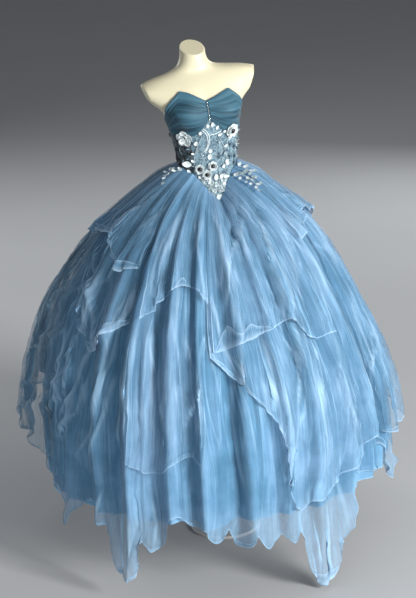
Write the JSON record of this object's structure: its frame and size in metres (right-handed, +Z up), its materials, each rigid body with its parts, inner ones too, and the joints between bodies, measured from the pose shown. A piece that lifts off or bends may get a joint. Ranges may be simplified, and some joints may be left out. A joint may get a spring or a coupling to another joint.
{
  "type": "strapless tulle ball gown on a limbless dress form with a round base",
  "caption": "Strapless ball gown with a ruched sweetheart bust, lace basque and draped pointed tulle skirt, on a dress form with pole and round base.",
  "frame": {"origin": "centre of the round base's underside, on the floor", "axes": "+Z up along the pole, -Y the gown's front, +X to the viewer's right"},
  "size_m": [1.5196, 1.4004, 1.9773],
  "materials": {
    "tulle": "matt dusty-blue tulle net",
    "bust_tulle": "ruched teal-blue tulle, matt",
    "lace": "ice-blue corded lace on net",
    "petals": "stiff white fabric petals",
    "flower_centre": "black glossy bead centre",
    "form": "smooth cream, satin",
    "stand": "cream powder coat"
  },
  "bodies": {
    "root": {"form_torso": "form", "stand_pole": "stand", "stand_base": "stand", "bust_drape_left": "bust_tulle", "bust_drape_right": "bust_tulle", "bust_centre_band": "bust_tulle", "midriff_front": "lace", "midriff_side_left": "lace", "midriff_side_right": "lace", "back_left": "lace", "back_right": "lace", "back_placket": "lace", "underskirt_front": "tulle", "underskirt_left": "tulle", "underskirt_right": "tulle", "underskirt_back": "tulle", "tulle_points_front_left": "tulle", "tulle_points_front_right": "tulle", "tulle_points_back_left": "tulle", "tulle_points_back_right": "tulle", "drape_left_outer": "tulle", "drape_left_front": "tulle", "drape_centre_long": "tulle", "drape_cascade": "tulle", "drape_right_outer": "tulle", "drape_back_right_long": "tulle", "drape_back_left_long": "tulle", "drape_left_upper": "tulle", "drape_left_hip": "tulle", "drape_centre": "tulle", "drape_right_front": "tulle", "drape_right_flare": "tulle", "drape_back_right_short": "tulle", "drape_back_left_short": "tulle", "flower_bust_right": "petals", "flower_bust_left": "petals", "flower_waist_left": "petals", "flower_waist_middle": "petals", "flower_waist_low": "petals", "leaves_lace_left": "petals", "leaves_lace_right": "petals", "leaves_basque": "petals", "leaf_waist_left": "petals", "leaves_hip_left": "petals", "leaves_hip_right": "petals", "leaves_hip_side": "petals", "flower_bust_right_centre": "flower_centre", "flower_waist_left_centre": "flower_centre", "flower_waist_middle_centre": "flower_centre", "flower_waist_low_centre": "flower_centre"}
  },
  "joints": []
}
